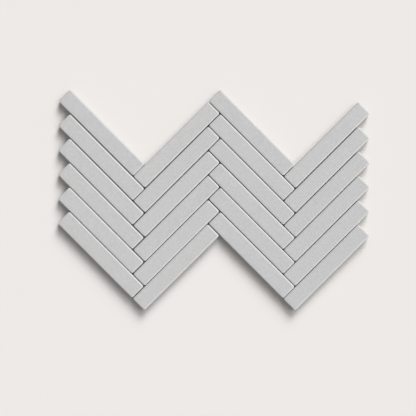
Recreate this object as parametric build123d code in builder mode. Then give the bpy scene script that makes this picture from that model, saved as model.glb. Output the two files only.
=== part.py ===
from build123d import *
import os
from math import sqrt

# Herringbone mosaic sheet: slim ceramic sticks laid at 45 degrees in four columns,
# side by side on an open net that is glued to their backs. Sizes are in millimetres.
# The sheet lies on its back: +Z is the face, +X runs across the columns, and the
# origin is under the middle of the sheet.

# Sticks
stick_length = 101.6
stick_width = 15.875
stick_thickness = 8.0
arris = 0.5
corner_radius = 0.8

# Joints and pattern
joint = 0.794
columns = 4
sticks_per_column = 6

# Key grooves pressed into the back of each stick, with the plain lands left beside them
grooves = 2
groove_depth = 0.5
groove_rib = 3.2
groove_side_land = 3.0
groove_end_land = 5.0

# Net backing: strands up the sheet below, strands across it above, bonded where they cross
strand_width = 1.2
strand_thickness = 0.3
strands_per_column = 7
net_margin = 2.0

# Steps of the pattern, measured along the diagonals
diagonal = sqrt(2)
stick_step = stick_width + joint
column_step = stick_length + joint
stack_step = (sticks_per_column - 1) * stick_step
sheet_width = ((columns - 1) * column_step + stick_length + stick_width) / diagonal
sheet_height = (2 * stack_step + 2 * stick_width + column_step) / diagonal

# Every point of the pattern is a distance along "rise", the diagonal that climbs to the
# right, and one along "fall", the diagonal that drops to the right. The first stick's
# upper left corner is where both start.
start_sum = stick_width - diagonal * sheet_width / 2
start_difference = diagonal * sheet_height / 2
first_rise = (start_sum + start_difference) / 2
first_fall = (start_sum - start_difference) / 2

# The grooves share what the rib and the lands leave of the stick's width
groove_length = stick_length - 2 * groove_end_land
groove_width = (stick_width - 2 * groove_side_land - (grooves - 1) * groove_rib) / grooves
groove_step = groove_width + groove_rib

# The net
net_thickness = 2 * strand_thickness
column_width = column_step / diagonal
strand_pitch = column_width / strands_per_column
crosswise_strands = 2 * int(sheet_height / (2 * strand_pitch)) + 1

# Directions of the two kinds of stick
rising = Vector(1, 1, 0)
falling = Vector(1, -1, 0)


def rise_start(column):
    """Distance along the rise diagonal where a column's first stick starts."""
    return first_rise + column // 2 * column_step


def fall_start(column):
    """Distance along the fall diagonal where a column's first stick starts."""
    return first_fall + (column + 1) // 2 * column_step


def on_sheet(rise, fall):
    """The point at the sticks' backs that lies at two distances along the diagonals."""
    return Vector((rise + fall) / diagonal, (rise - fall) / diagonal, net_thickness)


def stick_plane(column, row):
    """The plane of one stick's back, centred on it, with X along the stick."""
    rise = rise_start(column) - row * stick_step
    fall = fall_start(column) + row * stick_step
    if column % 2 == 0:
        centre = on_sheet(rise - stick_width / 2, fall + stick_length / 2)
        return Plane(origin=centre, x_dir=falling, z_dir=(0, 0, 1))
    centre = on_sheet(rise - stick_width + stick_length / 2, fall + stick_width / 2)
    return Plane(origin=centre, x_dir=rising, z_dir=(0, 0, 1))


def make_stick(name, back):
    """One ceramic stick, face up, with eased arrises and key grooves in its back."""
    with BuildPart() as stick:
        with BuildSketch(back):
            RectangleRounded(stick_length, stick_width, corner_radius)
        extrude(amount=stick_thickness)
        chamfer(stick.faces().sort_by(Axis.Z)[-1].edges(), arris)
        with BuildSketch(back):
            with GridLocations(0, groove_step, 1, grooves):
                Rectangle(groove_length, groove_width)
        extrude(amount=groove_depth, mode=Mode.SUBTRACT)
    stick.part.label = name
    export_step(stick.part, f"parts/{name}.step")


def net_outline(column):
    """The corners of the net under one column, set in from the edge of the sheet."""
    left = (start_sum + column * column_step) / diagonal
    right = left + column_width
    if column == 0:
        left += joint / diagonal + net_margin
    if column == columns - 1:
        right -= (joint + stick_step) / diagonal + net_margin
    if column % 2 == 0:
        top = diagonal * (rise_start(column) - net_margin)
        bottom = diagonal * (rise_start(column) - stack_step - stick_width + net_margin)
        return [(left, top - left), (right, top - right), (right, bottom - right), (left, bottom - left)]
    top = diagonal * (fall_start(column) + net_margin)
    bottom = diagonal * (fall_start(column) + stack_step + stick_width - net_margin)
    return [(left, left - top), (right, right - top), (right, right - bottom), (left, left - bottom)]


def make_net(name, column):
    """The net under one column, without the clippings that no other strand holds."""
    middle = (start_sum + (column + 0.5) * column_step) / diagonal
    outline = net_outline(column)
    with BuildPart() as net:
        with BuildSketch(Plane.XY):
            with Locations((middle, 0)):
                with GridLocations(strand_pitch, 0, strands_per_column, 1):
                    Rectangle(strand_width, sheet_height)
            Polygon(*outline, align=None, mode=Mode.INTERSECT)
        extrude(amount=strand_thickness)
        with BuildSketch(Plane.XY.offset(strand_thickness)):
            with Locations((middle, 0)):
                with GridLocations(0, strand_pitch, 1, crosswise_strands):
                    Rectangle(column_width, strand_width)
            Polygon(*outline, align=None, mode=Mode.INTERSECT)
        extrude(amount=strand_thickness)
        add(net.solids().sort_by(SortBy.VOLUME)[-1], mode=Mode.REPLACE)
    net.part.label = name
    export_step(net.part, f"parts/{name}.step")


os.makedirs("parts", exist_ok=True)
for column in range(columns):
    for row in range(sticks_per_column):
        make_stick(f"column_{column + 1}_stick_{row + 1}", stick_plane(column, row))
    make_net(f"net_backing_{column + 1}", column)
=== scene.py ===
"""Herringbone mosaic sheet: matt ceramic sticks in four columns on a woven net backing."""
import logging
import math
import random
from dataclasses import dataclass, field
from enum import Enum

import bmesh
import bpy
from mathutils import Matrix, Vector

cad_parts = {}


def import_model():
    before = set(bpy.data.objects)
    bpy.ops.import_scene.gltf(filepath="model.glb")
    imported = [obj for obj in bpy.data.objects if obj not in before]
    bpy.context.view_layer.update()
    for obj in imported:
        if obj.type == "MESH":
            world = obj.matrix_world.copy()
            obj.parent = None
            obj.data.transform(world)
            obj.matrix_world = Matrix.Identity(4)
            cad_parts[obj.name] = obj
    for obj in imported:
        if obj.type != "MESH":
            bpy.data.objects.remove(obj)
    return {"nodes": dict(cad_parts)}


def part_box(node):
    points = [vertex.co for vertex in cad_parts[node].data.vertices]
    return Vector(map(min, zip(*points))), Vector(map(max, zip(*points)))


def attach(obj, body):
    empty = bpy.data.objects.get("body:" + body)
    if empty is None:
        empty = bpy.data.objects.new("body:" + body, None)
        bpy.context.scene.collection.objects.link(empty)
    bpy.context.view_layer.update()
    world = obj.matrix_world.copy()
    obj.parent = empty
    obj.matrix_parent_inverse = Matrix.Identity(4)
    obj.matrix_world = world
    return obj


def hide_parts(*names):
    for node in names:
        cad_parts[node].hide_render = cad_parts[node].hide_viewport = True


MM = 0.001
BODY = "root"
log = logging.getLogger("mosaic")

# What the sticks and the net share. The width is in millimetres
STICK_WIDTH = 15.875
STICKS_PER_COLUMN = 6

# How near points must be to count as level, as on a cut, or as one point, in millimetres
LEVEL_WITHIN = 1e-4
CUT_WITHIN = 1e-5
WELD_WITHIN = 1e-3

# The colour sockets of a Mix node, by number, because its other kinds have the same names
MIX_AMOUNT = 0
MIX_FIRST = 6
MIX_SECOND = 7
MIX_RESULT = 2

# The middle of a noise's values
NOISE_MIDDLE = 0.5

Colour = tuple[float, float, float]
Span = tuple[float, float]


# Shader helpers

def opaque(colour: Colour) -> tuple[float, float, float, float]:
    """The colour as a socket takes it, with full opacity."""
    return (*colour, 1.0)


@dataclass(frozen=True)
class Noise:
    """One layer of noise: blotches to one unit, its finer octaves, and how strong each of them is."""

    scale: float
    detail: float
    roughness: float = 0.5


class Wire:
    """A node's output that takes part in Python expressions. Each operator adds one Math node."""

    def __init__(self, bench: "Bench", socket: bpy.types.NodeSocket | None) -> None:
        """Keeps the socket and the bench that its expressions add nodes to.

        Args:
            bench: the node tree that the socket belongs to.
            socket: the output socket, or None for a node that has no output.
        """
        self.bench = bench
        self.socket = socket

    def _math(self, operation: str, first: "Wire | float", second: "Wire | float") -> "Wire":
        """One Math node on two values.

        Args:
            operation: the Math node's operation.
            first: the value of its first socket.
            second: the value of its second socket.

        Returns:
            The node's output.
        """
        return self.bench.node("ShaderNodeMath", {"operation": operation}, {0: first, 1: second})

    def __add__(self, other: "Wire | float") -> "Wire":
        """self + other."""
        return self._math("ADD", self, other)

    def __radd__(self, other: float) -> "Wire":
        """other + self."""
        return self._math("ADD", other, self)

    def __sub__(self, other: "Wire | float") -> "Wire":
        """self - other."""
        return self._math("SUBTRACT", self, other)

    def __rsub__(self, other: float) -> "Wire":
        """other - self."""
        return self._math("SUBTRACT", other, self)

    def __mul__(self, other: "Wire | float") -> "Wire":
        """self * other."""
        return self._math("MULTIPLY", self, other)

    def __rmul__(self, other: float) -> "Wire":
        """other * self."""
        return self._math("MULTIPLY", other, self)

    def highest(self, other: "Wire | float") -> "Wire":
        """The larger of the two values."""
        return self._math("MAXIMUM", self, other)

    def ramp(self, start: float, full: float) -> "Wire":
        """A smooth step from 0 to 1.

        Args:
            start: the value that gives 0.
            full: the value that gives 1, which may be the lower one.

        Returns:
            The step.
        """
        settings = {"interpolation_type": "SMOOTHSTEP"}
        sockets = {"Value": self, "From Min": start, "From Max": full}
        return self.bench.node("ShaderNodeMapRange", settings, sockets)


class Bench:
    """One node tree, in which any node is made by one method."""

    def __init__(self, tree: bpy.types.NodeTree) -> None:
        """Empties the tree and works in it.

        Args:
            tree: the node tree of a material or of the world.
        """
        self.tree = tree
        self.tree.nodes.clear()

    def node(self, kind: str, settings: dict, sockets: dict, output: int | str = 0) -> Wire:
        """Adds a node.

        Args:
            kind: the node's type.
            settings: its properties, which are set first.
            sockets: the value of, or the wire into, each input, by name or number.
            output: the output that is wanted, by name or number.

        Returns:
            That output.
        """
        made = self.tree.nodes.new(kind)
        for name, value in settings.items():
            setattr(made, name, value)
        for name, value in sockets.items():
            if isinstance(value, Wire):
                self.tree.links.new(value.socket, made.inputs[name])
            else:
                made.inputs[name].default_value = value
        found = made.outputs[output] if len(made.outputs) else None
        return Wire(self, found)

    def blend(self, amount: Wire | float, first: Wire | tuple, second: Wire | tuple) -> Wire:
        """A colour between two colours.

        Args:
            amount: 0 for the first colour, 1 for the second.
            first: the first colour.
            second: the second colour.

        Returns:
            The mixed colour.
        """
        settings = {"data_type": "RGBA", "blend_type": "MIX"}
        sockets = {MIX_AMOUNT: amount, MIX_FIRST: first, MIX_SECOND: second}
        return self.node("ShaderNodeMix", settings, sockets, output=MIX_RESULT)

    def noise(self, place: Wire, layer: Noise) -> Wire:
        """Noise about its middle value.

        Args:
            place: the coordinates.
            layer: the noise's grain.

        Returns:
            The noise's value.
        """
        sockets = {
            "Vector": place,
            "Scale": layer.scale,
            "Detail": layer.detail,
            "Roughness": layer.roughness,
        }
        return self.node("ShaderNodeTexNoise", {"noise_dimensions": "3D"}, sockets)

    def bump(self, height: Wire, strength: float, depth: float, over: Wire | None = None) -> Wire:
        """The normal of a fine relief.

        Args:
            height: the relief, from 0 to 1.
            strength: how much of it shows.
            depth: its depth in millimetres.
            over: the normal of another relief that it is added to.

        Returns:
            The normal.
        """
        sockets = {"Strength": strength, "Distance": depth * MM, "Height": height}
        if over is not None:
            sockets["Normal"] = over
        return self.node("ShaderNodeBump", {}, sockets)

    def attribute(self, name: str, output: str) -> Wire:
        """An attribute of the piece's mesh.

        Args:
            name: the attribute.
            output: Vector for one with three numbers, or Fac for one number.

        Returns:
            Its value.
        """
        return self.node("ShaderNodeAttribute", {"attribute_name": name}, {}, output=output)

    def surface(self, shader: Wire) -> None:
        """Makes the shader the material's surface."""
        self.node("ShaderNodeOutputMaterial", {}, {"Surface": shader})


def new_material(name: str) -> tuple[bpy.types.Material, Bench]:
    """An empty node material and its bench.

    Args:
        name: the material's name.

    Returns:
        The material, and the bench that works in its node tree.
    """
    material = bpy.data.materials.new(name)
    material.use_nodes = True
    return material, Bench(material.node_tree)


# Finishes

class Mark(str, Enum):
    """Names of the mesh attributes that the finishes read."""

    PLACE = "press_place"
    TONE = "press_tone"
    YARN = "yarn_place"


@dataclass(frozen=True)
class CeramicFinish:
    """Matt, unglazed, light grey ceramic with a fine mineral grain.

    Noise scales are blotches to a millimetre, and relief depths are in millimetres. A pair says where
    a mask starts and where it is full. The pairs of the arris, the side and the back go by how far up
    the surface faces, from 1 on the face to -1 on the back. The arrises are painted paler as a
    highlight, and the sides darker as painted shade.
    """

    body: Colour = (0.551, 0.551, 0.551)
    # Painted highlight: how much paler the arrises are made
    arris_painted_highlight: float = 0.08
    # Painted shade: how much darker the sides are made than the body
    side_painted_shade: float = 0.5
    back_warmth: Colour = (0.62, 0.605, 0.58)
    back_warmth_share: float = 0.7
    speck: Colour = (0.43, 0.43, 0.425)
    speck_share: float = 0.35
    tone_spread: float = 0.01
    cloud_contrast: float = 0.04
    mottle_contrast: float = 0.3
    grain_contrast: float = 0.45
    roughness: float = 0.74
    grain_roughness: float = 0.16
    arris_gloss: float = 0.38
    back_roughness: float = 0.15
    refraction: float = 1.5
    specular_level: float = 0.4
    tooth_strength: float = 0.35
    tooth_depth: float = 0.03
    wave_strength: float = 0.5
    wave_depth: float = 0.08
    clouds: Noise = Noise(scale=0.06, detail=2.0)
    mottle: Noise = Noise(scale=0.55, detail=2.0, roughness=0.6)
    grain: Noise = Noise(scale=1.3, detail=3.0, roughness=0.6)
    speck_patches: Noise = Noise(scale=0.9, detail=0.0)
    tooth: Noise = Noise(scale=5.5, detail=4.0, roughness=0.65)
    waves: Noise = Noise(scale=0.22, detail=1.0)
    speck_scale: float = 1.1
    speck_edge: Span = (0.17, 0.07)
    speck_patch_edge: Span = (0.52, 0.66)
    face_to_arris: Span = (0.998, 0.95)
    side_to_arris: Span = (0.1, 0.45)
    arris_to_side: Span = (0.35, 0.1)
    side_to_back: Span = (-0.2, -0.8)

    def material(self) -> bpy.types.Material:
        """Builds the material.

        Returns:
            The ceramic's material.
        """
        material, bench = new_material("matt_grey_ceramic")
        place = bench.attribute(Mark.PLACE.value, "Vector")
        tone = bench.attribute(Mark.TONE.value, "Fac")
        facing = bench.node("ShaderNodeTexCoord", {}, {}, output="Normal")
        up = bench.node("ShaderNodeSeparateXYZ", {}, {"Vector": facing}, output="Z")

        # Masks for the eased arris, which carries a painted highlight, the sides, which carry painted
        # shade, and the back
        arris = up.ramp(*self.face_to_arris) * up.ramp(*self.side_to_arris)
        side = up.ramp(*self.arris_to_side)
        back = up.ramp(*self.side_to_back)

        # Colour: clouds from the press powder, fine grain and a few darker specks, with a painted
        # highlight on the arrises and painted shade on the sides
        cloud = bench.noise(place, self.clouds) - NOISE_MIDDLE
        mottle = bench.noise(place, self.mottle) - NOISE_MIDDLE
        grain = bench.noise(place, self.grain) - NOISE_MIDDLE
        cells = {"Vector": place, "Scale": self.speck_scale}
        cell = bench.node("ShaderNodeTexVoronoi", {"feature": "F1"}, cells)
        patches = bench.noise(place, self.speck_patches).ramp(*self.speck_patch_edge)
        specks = cell.ramp(*self.speck_edge) * patches
        batch = (tone - 0.5) * (2 * self.tone_spread)
        # Painted highlight on the arrises, which are lighter, and painted shade on the sides, which
        # are darker
        edges = arris * self.arris_painted_highlight - side * self.side_painted_shade
        level = 1.0 + cloud * self.cloud_contrast + mottle * self.mottle_contrast
        level = level + grain * self.grain_contrast + batch + edges
        scaled = {0: self.body, "Scale": level}
        shade = bench.node("ShaderNodeVectorMath", {"operation": "SCALE"}, scaled)
        with_specks = bench.blend(specks * self.speck_share, shade, opaque(self.speck))
        warmth = back * self.back_warmth_share
        colour = bench.blend(warmth, with_specks, opaque(self.back_warmth))

        # Surface: an even matt tooth, with faint pressing waves
        roughness = self.roughness + grain * self.grain_roughness
        roughness = roughness - arris * self.arris_gloss + back * self.back_roughness
        tooth = bench.noise(place, self.tooth)
        waves = bench.noise(place, self.waves)
        fine = bench.bump(tooth, self.tooth_strength, self.tooth_depth)
        normal = bench.bump(waves, self.wave_strength, self.wave_depth, over=fine)
        sockets = {
            "Base Color": colour,
            "Roughness": roughness,
            "Normal": normal,
            "IOR": self.refraction,
            "Specular IOR Level": self.specular_level,
        }
        bench.surface(bench.node("ShaderNodeBsdfPrincipled", {}, sockets))
        return material


@dataclass(frozen=True)
class NetFinish:
    """Off-white glass yarn under a clear stiffening coat. Its noises run along the yarn."""

    yarn: Colour = (0.76, 0.76, 0.73)
    between: Colour = (0.6, 0.6, 0.56)
    roughness: float = 0.42
    coat_roughness: float = 0.3
    filament_strength: float = 0.6
    filament_depth: float = 0.03
    filament_stretch: tuple[float, float, float] = (0.25, 9.0, 1.0)
    filaments: Noise = Noise(scale=1.0, detail=3.0, roughness=0.7)
    filament_edge: Span = (0.35, 0.65)
    coat: Noise = Noise(scale=0.5, detail=2.0)

    def material(self) -> bpy.types.Material:
        """Builds the material.

        Returns:
            The net's material.
        """
        material, bench = new_material("coated_glass_yarn")
        place = bench.attribute(Mark.YARN.value, "Vector")
        stretched = {"Vector": place, "Scale": self.filament_stretch}
        filaments = bench.noise(bench.node("ShaderNodeMapping", {}, stretched), self.filaments)
        coat = bench.noise(place, self.coat) - NOISE_MIDDLE
        strands = filaments.ramp(*self.filament_edge)
        sockets = {
            "Base Color": bench.blend(strands, opaque(self.between), opaque(self.yarn)),
            "Roughness": self.roughness + coat * self.coat_roughness,
            "Normal": bench.bump(filaments, self.filament_strength, self.filament_depth),
        }
        bench.surface(bench.node("ShaderNodeBsdfPrincipled", {}, sockets))
        return material


@dataclass(frozen=True)
class PaperFinish:
    """Plain, warm white paper, under the sheet and all round it."""

    colour: Colour = (0.855, 0.823, 0.799)

    def material(self) -> bpy.types.Material:
        """Builds the material.

        Returns:
            The paper's material.
        """
        material, bench = new_material("warm_white_paper")
        sockets = {"Color": opaque(self.colour), "Roughness": 0.0}
        bench.surface(bench.node("ShaderNodeBsdfDiffuse", {}, sockets))
        return material


# Pieces

class Lean(Enum):
    """Which way a stick leans, as the angle of its length from the X axis in degrees."""

    FALLING = -45.0
    RISING = 45.0

    @staticmethod
    def of_column(column: int) -> "Lean":
        """The lean of the sticks in a column, counted from 1 on the left."""
        return Lean.FALLING if column % 2 else Lean.RISING

    def turn(self) -> Matrix:
        """The turn about Z that lays a stick from along X to this lean."""
        return Matrix.Rotation(math.radians(self.value), 4, "Z")


def stick_name(column: int, row: int) -> str:
    """The frame's name of a stick, counted from the upper left."""
    return f"column_{column}_stick_{row}"


def net_name(column: int) -> str:
    """The frame's name of the net under a column."""
    return f"net_backing_{column}"


def middle_of(node: str) -> Vector:
    """The middle of a node of the frame, in metres."""
    low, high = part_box(node)
    return (low + high) / 2


def as_object(name: str, mesh: bmesh.types.BMesh, finish: bpy.types.Material) -> bpy.types.Object:
    """Turns a bmesh in metres into a dressed object at the origin.

    Args:
        name: the object's name.
        mesh: the bmesh, which is freed.
        finish: the material.

    Returns:
        The object, linked to the scene.
    """
    data = bpy.data.meshes.new(name)
    mesh.to_mesh(data)
    mesh.free()
    data.materials.append(finish)
    made = bpy.data.objects.new(name, data)
    bpy.context.scene.collection.objects.link(made)
    return made


def as_piece(name: str, mesh: bmesh.types.BMesh, finish: bpy.types.Material) -> bpy.types.Object:
    """Turns a bmesh in millimetres into a dressed object at the origin.

    Args:
        name: the object's name.
        mesh: the bmesh, which is freed.
        finish: the material.

    Returns:
        The object, linked to the scene.
    """
    bmesh.ops.scale(mesh, vec=(MM, MM, MM), verts=mesh.verts)
    return as_object(name, mesh, finish)


@dataclass
class CeramicStick:
    """One pressed stick: eased arrises, soft corners and two key grooves in its back.

    Sizes are in millimetres. hand_shift and hand_turn are how far, and by how many degrees, the hand
    that laid the stick may have missed.
    """

    column: int
    row: int
    drift: Vector
    length: float = 101.6
    width: float = STICK_WIDTH
    corner_radius: float = 1.7
    corner_steps: int = 6
    arris_width: float = 1.2
    arris_drop: float = 0.6
    arris_ease: float = 0.35
    arris_turn: float = 0.12
    arris_steps: int = 3
    foot_radius: float = 0.25
    foot_steps: int = 2
    groove_depth: float = 0.5
    groove_rib: float = 3.2
    groove_side_land: float = 3.0
    groove_end_land: float = 5.0
    groove_draft: float = 0.25
    groove_rim: float = 0.1
    hand_shift: float = 0.05
    hand_turn: float = 0.04
    powder_reach: float = 900.0

    def build(self, finish: bpy.types.Material) -> bpy.types.Object:
        """Models the stick where the frame has it.

        Args:
            finish: the ceramic's material.

        Returns:
            The dressed stick, which replaces its node.
        """
        node = stick_name(self.column, self.row)
        low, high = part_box(node)
        mesh = self._block((high.z - low.z) / MM)
        self._press_grooves(mesh)
        self._mark_press(mesh)
        self._lay(mesh, middle_of(node) / MM)
        piece = as_piece(f"ceramic_stick_{self.column}_{self.row}", mesh, finish)
        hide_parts(node)
        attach(piece, BODY)
        return piece

    def _block(self, thickness: float) -> bmesh.types.BMesh:
        """The stick along X about the origin, with all its edges eased.

        Args:
            thickness: its thickness.

        Returns:
            The block.
        """
        mesh = bmesh.new()
        bmesh.ops.create_cube(mesh, size=1.0)

        # The arris is cut at 45 degrees on a taller block, which is then pressed to its height
        squash = self.arris_drop / self.arris_width
        tall = thickness / squash
        bmesh.ops.scale(mesh, vec=(self.length, self.width, tall), verts=mesh.verts)
        uprights = [e for e in mesh.edges if abs(e.verts[0].co.z - e.verts[1].co.z) > tall / 2]
        self._ease(mesh, uprights, self.corner_radius, self.corner_steps)
        self._ease(mesh, self._rim(mesh, tall / 2), self.arris_width)
        bmesh.ops.scale(mesh, vec=(1, 1, squash), verts=mesh.verts)

        # Its upper edge, its lower edge and the foot are rounded
        top = thickness / 2
        self._ease(mesh, self._rim(mesh, top), self.arris_ease, self.arris_steps)
        self._ease(mesh, self._rim(mesh, top - self.arris_drop), self.arris_turn, self.arris_steps)
        self._ease(mesh, self._rim(mesh, -top), self.foot_radius, self.foot_steps)
        largest_smooth = self.length * self.corner_radius * 2
        for face in mesh.faces:
            face.smooth = face.calc_area() < largest_smooth
        return mesh

    @staticmethod
    def _rim(mesh: bmesh.types.BMesh, height: float) -> list[bmesh.types.BMEdge]:
        """The edges that lie at one height.

        Args:
            mesh: the block.
            height: their height above its middle.

        Returns:
            The edges.
        """
        return [e for e in mesh.edges if all(abs(v.co.z - height) < LEVEL_WITHIN for v in e.verts)]

    @staticmethod
    def _flats(mesh: bmesh.types.BMesh, height: float) -> list[bmesh.types.BMFace]:
        """The faces that lie at one height.

        Args:
            mesh: the block.
            height: their height above its middle.

        Returns:
            The faces.
        """
        return [f for f in mesh.faces if all(abs(v.co.z - height) < LEVEL_WITHIN for v in f.verts)]

    @staticmethod
    def _ease(
        mesh: bmesh.types.BMesh, edges: list[bmesh.types.BMEdge], radius: float, steps: int = 1
    ) -> None:
        """Rounds or chamfers edges.

        Args:
            mesh: the mesh that they belong to.
            edges: the edges.
            radius: the round's radius, or the chamfer's width.
            steps: the number of flats along it, which is 1 for a chamfer.
        """
        bmesh.ops.bevel(
            mesh,
            geom=edges,
            offset=radius,
            offset_type="OFFSET",
            segments=steps,
            profile=0.5,
            affect="EDGES",
            material=-1,
            clamp_overlap=True,
        )

    def _press_grooves(self, mesh: bmesh.types.BMesh) -> None:
        """Sinks the key grooves into the back, with drafted walls and soft rims.

        Args:
            mesh: the block.
        """
        inner = self.groove_rib / 2
        outer = self.width / 2 - self.groove_side_land
        end = self.length / 2 - self.groove_end_land
        cuts = [((side * end, 0, 0), (1, 0, 0)) for side in (-1, 1)]
        cuts += [((0, side * place, 0), (0, 1, 0)) for side in (-1, 1) for place in (inner, outer)]
        base = min(v.co.z for v in mesh.verts)
        for point, normal in cuts:
            back = self._flats(mesh, base)
            edges = {e for f in back for e in f.edges}
            verts = {v for f in back for v in f.verts}
            bmesh.ops.bisect_plane(
                mesh,
                geom=[*back, *edges, *verts],
                dist=CUT_WITHIN,
                plane_co=point,
                plane_no=normal,
            )
        beds = []
        for face in self._flats(mesh, base):
            middle = face.calc_center_median()
            if abs(middle.x) < end and inner < abs(middle.y) < outer:
                beds.append(face)
        rims = list({e for f in beds for e in f.edges})
        bmesh.ops.inset_individual(
            mesh, faces=beds, thickness=self.groove_draft, depth=-self.groove_depth
        )
        self._ease(mesh, rims, self.groove_rim)

    def _mark_press(self, mesh: bmesh.types.BMesh) -> None:
        """Stores where each point lies in the press powder, and the stick's tone.

        Args:
            mesh: the block.
        """
        dice = random.Random(f"stick {self.column} {self.row}")
        shift = Vector([dice.uniform(0, self.powder_reach) for _ in range(3)])
        shade = dice.random()
        place = mesh.verts.layers.float_vector.new(Mark.PLACE.value)
        tone = mesh.verts.layers.float.new(Mark.TONE.value)
        for vert in mesh.verts:
            vert[place] = vert.co + shift
            vert[tone] = shade

    def _lay(self, mesh: bmesh.types.BMesh, middle: Vector) -> None:
        """Lays the stick in the sheet, as squarely as sticks are laid.

        Args:
            mesh: the block.
            middle: where its middle goes.
        """
        dice = random.Random(f"laying {self.column} {self.row}")
        along, across = (dice.uniform(-self.hand_shift, self.hand_shift) for _ in range(2))
        askew = math.radians(dice.uniform(-self.hand_turn, self.hand_turn))
        shift = self.drift + Vector((along, across, 0))
        place = Matrix.Translation(middle) @ Lean.of_column(self.column).turn()
        place = place @ Matrix.Translation(shift)
        bmesh.ops.transform(mesh, matrix=place @ Matrix.Rotation(askew, 4, "Z"), verts=mesh.verts)


@dataclass
class WovenNet:
    """The backing: pairs of yarns twisted about flat crosswise strands. Millimetres.

    whole_column is a column whose net is as wide as the column, and whole_left is that net's left
    end. The first row of the weave is copied twice for each upright strand, and spare_rows times
    more, so that the weave reaches past the sheet's top and bottom.
    """

    strands_per_column: int = 7
    spare_rows: int = 6
    whole_column: int = 3
    margin: float = 2.0
    yarn_width: float = 0.52
    yarn_depth: float = 0.2
    twist_reach: float = 0.3
    band_width: float = 1.25
    band_waist: float = 0.85
    band_depth: float = 0.18
    grip_sharpness: int = 4
    twist_steps: int = 8
    band_steps: int = 4
    section_points: int = 8
    pitch: float = field(init=False)
    height: float = field(init=False)
    whole_left: float = field(init=False)
    cloth: bmesh.types.BMesh = field(init=False)

    def __post_init__(self) -> None:
        """Takes the pitch and the thickness from the frame, and weaves one column's width."""
        low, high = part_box(net_name(self.whole_column))
        self.pitch = (high.x - low.x) / MM / self.strands_per_column
        self.height = (high.z - low.z) / MM
        self.whole_left = low.x / MM
        self.cloth = self._weave()

    def _weave(self) -> bmesh.types.BMesh:
        """The net of one column before it is trimmed, with its back on the floor.

        Returns:
            The net, with X and Y about its middle.
        """
        mesh = bmesh.new()
        mesh.verts.layers.float_vector.new(Mark.YARN.value)
        self._twisted_yarn(mesh, 1.0)
        self._twisted_yarn(mesh, -1.0)
        self._band(mesh)
        rows = 2 * self.strands_per_column + self.spare_rows
        self._repeat(mesh, Vector((0, self.pitch, 0)), rows)
        self._repeat(mesh, Vector((self.pitch, 0, 0)), self.strands_per_column - 1)
        bmesh.ops.remove_doubles(mesh, verts=mesh.verts, dist=WELD_WITHIN)
        middle = Vector((1 - self.strands_per_column, -rows, 0)) * (self.pitch / 2)
        bmesh.ops.translate(mesh, vec=middle + Vector((0, 0, self.height / 2)), verts=mesh.verts)
        bmesh.ops.recalc_face_normals(mesh, faces=mesh.faces)
        return mesh

    def build(self, column: int, finish: bpy.types.Material) -> bpy.types.Object:
        """Trims the net of one column as the frame's is trimmed.

        Args:
            column: the column, counted from 1 on the left.
            finish: the yarn's material.

        Returns:
            The dressed net, which replaces its node.
        """
        mesh = self.cloth.copy()
        columns_over = column - self.whole_column + 0.5
        middle = columns_over * self.pitch * self.strands_per_column
        middle += self.whole_left
        bmesh.ops.translate(mesh, vec=(middle, 0, 0), verts=mesh.verts)
        self._trim(mesh, column)
        self._drop_clippings(mesh, middle)

        # The yarns' walls have four corners and are smooth, and their cut ends are flat
        for face in mesh.faces:
            face.smooth = len(face.verts) == 4
        piece = as_piece(f"woven_net_{column}", mesh, finish)
        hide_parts(net_name(column))
        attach(piece, BODY)
        return piece

    @staticmethod
    def _repeat(mesh: bmesh.types.BMesh, step: Vector, times: int) -> None:
        """Repeats all of the mesh in a line.

        Args:
            mesh: the mesh.
            step: from each copy to the next.
            times: the number of copies.
        """
        bmesh.ops.spin(
            mesh,
            geom=[*mesh.verts, *mesh.edges, *mesh.faces],
            cent=(0, 0, 0),
            axis=(0, 0, 1),
            dvec=step,
            angle=0,
            steps=times,
            use_duplicate=True,
        )

    def _draw(
        self,
        mesh: bmesh.types.BMesh,
        stations: list[Vector],
        widths: list[float],
        depth: float,
        turn: Matrix,
    ) -> None:
        """Draws one cell's length of a yarn from station to station.

        Args:
            mesh: the mesh that it is added to.
            stations: the middle of each section.
            widths: the width of each section.
            depth: the yarn's thickness.
            turn: the turn from a yarn along Y to this yarn.
        """
        place = mesh.verts.layers.float_vector[Mark.YARN.value]
        made = bmesh.ops.create_circle(mesh, segments=self.section_points, radius=0.5)
        ring = made["verts"]
        edges = list({e for v in ring for e in v.link_edges})
        shape = turn @ Matrix.Rotation(math.radians(90), 4, "X")
        shape = shape @ Matrix.Diagonal((widths[0], depth, 1.0, 1.0))
        bmesh.ops.transform(mesh, matrix=Matrix.Translation(stations[0]) @ shape, verts=ring)
        length = self.pitch / (len(stations) - 1)
        for index, vert in enumerate(ring):
            vert[place] = (0, abs(index - self.section_points / 2), 0)
        for number in range(1, len(stations)):
            made = bmesh.ops.extrude_edge_only(mesh, edges=edges)["geom"]
            ring = [v for v in made if isinstance(v, bmesh.types.BMVert)]
            drawn = [e for e in made if isinstance(e, bmesh.types.BMEdge)]
            edges = [e for e in drawn if set(e.verts) <= set(ring)]
            wider = widths[number] / widths[number - 1]
            across = turn @ Matrix.Diagonal((wider, 1.0, 1.0, 1.0)) @ turn.inverted()
            back = Matrix.Translation(-stations[number - 1])
            move = Matrix.Translation(stations[number]) @ across @ back
            bmesh.ops.transform(mesh, matrix=move, verts=ring)
            for vert in ring:
                vert[place] = vert[place] + Vector((length, 0, 0))

    def _twisted_yarn(self, mesh: bmesh.types.BMesh, side: float) -> None:
        """One of the two yarns of an upright strand: over a band, then under its partner.

        Args:
            mesh: the cell's mesh.
            side: 1 for the yarn that passes over the band, -1 for the one that passes under it.
        """
        lift = (self.height - self.yarn_depth) / 2
        stations = []
        for number in range(self.twist_steps + 1):
            share = number / self.twist_steps - 0.5
            turn = 2 * math.pi * share
            across = side * self.twist_reach * math.sin(turn)
            stations.append(Vector((across, share * self.pitch, side * lift * math.cos(turn))))
        widths = [self.yarn_width] * len(stations)
        self._draw(mesh, stations, widths, self.yarn_depth, Matrix.Identity(4))

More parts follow.
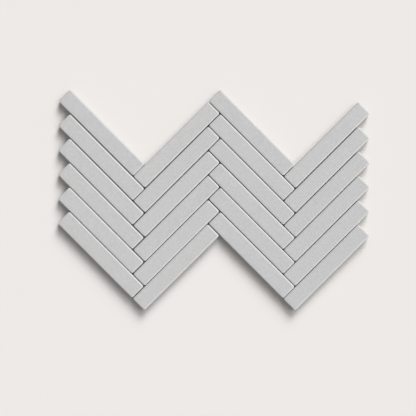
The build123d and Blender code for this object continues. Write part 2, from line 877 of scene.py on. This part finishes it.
    def _band(self, mesh: bmesh.types.BMesh) -> None:
        """One flat crosswise strand, narrower where the twisted yarns grip it.

        Args:
            mesh: the cell's mesh.
        """
        stations, widths = [], []
        for number in range(self.band_steps + 1):
            share = number / self.band_steps - 0.5
            stations.append(Vector((share * self.pitch, 0, 0)))
            grip = math.cos(math.pi * share) ** self.grip_sharpness
            widths.append(self.band_width + (self.band_waist - self.band_width) * grip)
        crosswise = Matrix.Rotation(math.radians(-90), 4, "Z")
        self._draw(mesh, stations, widths, self.band_depth, crosswise)

    def _trim(self, mesh: bmesh.types.BMesh, column: int) -> None:
        """Cuts the net along the column's edges, a little inside the sticks.

        Args:
            mesh: the net's mesh.
            column: the column, counted from 1 on the left.
        """
        low, high = (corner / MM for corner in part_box(net_name(column)))
        left, right = Vector((-1, 0, 0)), Vector((1, 0, 0))
        sideways = left if Lean.of_column(column) is Lean.RISING else right
        outward = sideways + Vector((0, 1, 0))
        outward.normalize()
        reach = outward * (STICK_WIDTH / 2 - self.margin)
        top = middle_of(stick_name(column, 1)) / MM + reach
        bottom = middle_of(stick_name(column, STICKS_PER_COLUMN)) / MM - reach
        for point, normal in ((top, outward), (bottom, -outward), (low, left), (high, right)):
            cut = bmesh.ops.bisect_plane(
                mesh,
                geom=[*mesh.verts, *mesh.edges, *mesh.faces],
                dist=CUT_WITHIN,
                plane_co=point,
                plane_no=normal,
                clear_outer=True,
            )
            edges = [e for e in cut["geom_cut"] if isinstance(e, bmesh.types.BMEdge)]
            bmesh.ops.holes_fill(mesh, edges=edges, sides=0)

    def _drop_clippings(self, mesh: bmesh.types.BMesh, middle: float) -> None:
        """Removes the ends of bands that no upright strand holds.

        Args:
            mesh: the net's mesh.
            middle: the middle of the column's uprights.
        """
        half = (self.strands_per_column - 1) / 2
        uprights = [middle + (i - half) * self.pitch for i in range(self.strands_per_column)]
        waiting = set(mesh.verts)
        loose = []
        while waiting:
            island, front = set(), [waiting.pop()]
            while front:
                vert = front.pop()
                island.add(vert)
                near = {e.other_vert(vert) for e in vert.link_edges} & waiting
                waiting -= near
                front.extend(near)
            low = min(v.co.x for v in island)
            high = max(v.co.x for v in island)
            if not any(low <= x <= high for x in uprights):
                loose.extend(island)
        bmesh.ops.delete(mesh, geom=loose, context="VERTS")


@dataclass(frozen=True)
class Laying:
    """How far one column's sticks drifted from their even places as they were laid. Millimetres.

    top and bottom are how far the first and the last stick lie toward the foot of the column, and
    bow is how much further the middle ones do. slip is how far the first stick lies along its own
    length, and the last one lies as far the other way.
    """

    top: float = 0.0
    bottom: float = 0.0
    bow: float = 0.0
    slip: float = 0.0

    def drift(self, share: float) -> Vector:
        """Where a stick lies against its even place, along its length and across it.

        Args:
            share: how far down the column the stick comes, from 0 to 1.

        Returns:
            The drift, with X along the stick.
        """
        down = self.top + (self.bottom - self.top) * share + self.bow * math.sin(math.pi * share)
        return Vector((self.slip * (1 - 2 * share), -down, 0))


@dataclass
class MosaicSheet:
    """The whole sheet: columns of sticks, each on its width of net."""

    rows: int = STICKS_PER_COLUMN
    layings: tuple[Laying, ...] = (
        Laying(top=-0.05, bottom=0.0, bow=0.3, slip=0.4),
        Laying(top=0.0, bottom=-0.35, bow=0.35),
        Laying(top=0.1, bottom=-0.15, bow=-0.05),
        Laying(top=-0.2, bottom=-0.4, bow=0.25),
    )

    def build(self) -> list[bpy.types.Object]:
        """Builds and dresses every piece.

        Returns:
            The pieces.
        """
        pieces = []
        ceramic = CeramicFinish().material()
        yarn = NetFinish().material()
        backing = WovenNet()
        for column, laying in enumerate(self.layings, start=1):
            for row in range(1, self.rows + 1):
                drift = laying.drift((row - 1) / (self.rows - 1))
                pieces.append(CeramicStick(column, row, drift).build(ceramic))
            pieces.append(backing.build(column, yarn))
        for piece in pieces:
            log.info("%s: %d faces", piece.name, len(piece.data.polygons))
        return pieces


# Studio

class Lit(Enum):
    """What a lamp lights. All the rest still shades it."""

    PAPER = "paper"
    SHEET = "sheet"


@dataclass(frozen=True)
class Lamp:
    """A broad, soft lamp far away.

    Its angles are in degrees, and level is its share of the light on a level face.
    """

    name: str
    lit: Lit
    azimuth: float
    elevation: float
    spread: float
    level: float
    distance: float = 3.0

    def hang(self, receivers: bpy.types.Collection) -> bpy.types.Object:
        """Adds the lamp.

        Args:
            receivers: the objects that it lights.

        Returns:
            The lamp's object.
        """
        data = bpy.data.lights.new(self.name, "SUN")
        rise = math.radians(self.elevation)
        turn = math.radians(self.azimuth)
        data.energy = self.level * math.pi / math.sin(rise)
        data.angle = math.radians(self.spread)
        lamp = bpy.data.objects.new(self.name, data)
        reach = math.cos(rise)
        away = Vector((math.cos(turn) * reach, math.sin(turn) * reach, math.sin(rise)))
        lamp.location = away * self.distance
        lamp.rotation_euler = away.to_track_quat("Z", "Y").to_euler()
        lamp.light_linking.receiver_collection = receivers
        bpy.context.scene.collection.objects.link(lamp)
        return lamp


@dataclass
class Studio:
    """Floor, surroundings, lamps and camera, set up as in the photograph.

    pixel_size is what one pixel shows of the sheet's face. It and the floor's size are in metres, the
    lens and its sensor in millimetres, and the camera's roll in degrees.
    """

    image_pixels: float = 416.0
    sheet_middle_pixel: tuple[float, float] = (214.05, 200.03)
    camera_roll: float = 0.12
    pixel_size: float = 0.961 * MM
    lens: float = 120.0
    sensor: float = 36.0
    floor_size: float = 12.0
    paper: PaperFinish = PaperFinish()
    lamps: tuple[Lamp, ...] = (
        Lamp("paper_key", Lit.PAPER, azimuth=70, elevation=32, spread=29, level=0.39),
        Lamp("paper_fill", Lit.PAPER, azimuth=61, elevation=41, spread=34, level=0.22),
        Lamp("paper_side", Lit.PAPER, azimuth=14, elevation=56, spread=24, level=0.15),
        Lamp("paper_dome", Lit.PAPER, azimuth=90, elevation=89, spread=170, level=0.24),
        Lamp("sheet_key", Lit.SHEET, azimuth=3, elevation=42, spread=36, level=0.42),
        Lamp("sheet_glint", Lit.SHEET, azimuth=45, elevation=35, spread=16, level=0.16),
        Lamp("sheet_low", Lit.SHEET, azimuth=225, elevation=31, spread=50, level=0.06),
        Lamp("sheet_dome", Lit.SHEET, azimuth=90, elevation=89, spread=170, level=0.36),
    )

    def set_up(self, pieces: list[bpy.types.Object]) -> None:
        """Makes everything that isn't part of the sheet.

        Args:
            pieces: the sheet's pieces.
        """
        receivers = {lit: bpy.data.collections.new(f"lit_{lit.value}") for lit in Lit}
        receivers[Lit.PAPER].objects.link(self._floor())
        for piece in pieces:
            receivers[Lit.SHEET].objects.link(piece)
        self._surroundings()
        for lamp in self.lamps:
            lamp.hang(receivers[lamp.lit])
            log.info("lamp %s", lamp.name)
        self._camera()
        bpy.context.scene.view_settings.view_transform = "Standard"

    def _floor(self) -> bpy.types.Object:
        """Makes a plain floor at the height that the net's back lies on.

        Returns:
            The floor.
        """
        mesh = bmesh.new()
        bmesh.ops.create_grid(mesh, x_segments=1, y_segments=1, size=self.floor_size / 2)
        floor = as_object("floor", mesh, self.paper.material())
        return floor

    def _surroundings(self) -> None:
        """A backdrop of the paper's colour all round, which gives no light of its own."""
        world = bpy.data.worlds.new("surroundings")
        world.use_nodes = True
        bench = Bench(world.node_tree)
        seen = bench.node("ShaderNodeLightPath", {}, {}, output="Is Camera Ray")
        mirrored = bench.node("ShaderNodeLightPath", {}, {}, output="Is Glossy Ray")
        through = bench.node("ShaderNodeLightPath", {}, {}, output="Is Transmission Ray")
        shown = seen.highest(mirrored).highest(through)
        colour = bench.blend(shown, opaque((0.0, 0.0, 0.0)), opaque(self.paper.colour))
        sky = bench.node("ShaderNodeBackground", {}, {"Color": colour, "Strength": 1.0})
        bench.node("ShaderNodeOutputWorld", {}, {"Surface": sky})
        bpy.context.scene.world = world

    def _camera(self) -> None:
        """A long lens straight above the sheet."""
        data = bpy.data.cameras.new("camera")
        data.lens = self.lens
        data.sensor_width = self.sensor
        camera = bpy.data.objects.new("camera", data)
        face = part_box(stick_name(1, 1))[1].z
        width = self.image_pixels * self.pixel_size
        right, down = (pixel - self.image_pixels / 2 for pixel in self.sheet_middle_pixel)
        camera.location = (
            -right * self.pixel_size,
            down * self.pixel_size,
            face + width * self.lens / self.sensor,
        )
        camera.rotation_euler.z = math.radians(self.camera_roll)
        bpy.context.scene.collection.objects.link(camera)
        bpy.context.scene.camera = camera


def main() -> None:
    """Builds the sheet around the frame, then the studio."""
    logging.basicConfig(level=logging.INFO, format="%(name)s %(message)s")
    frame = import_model()
    log.info("the frame has %d nodes", len(frame["nodes"]))
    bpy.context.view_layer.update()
    pieces = MosaicSheet().build()
    Studio().set_up(pieces)


if __name__ == "__main__":
    main()
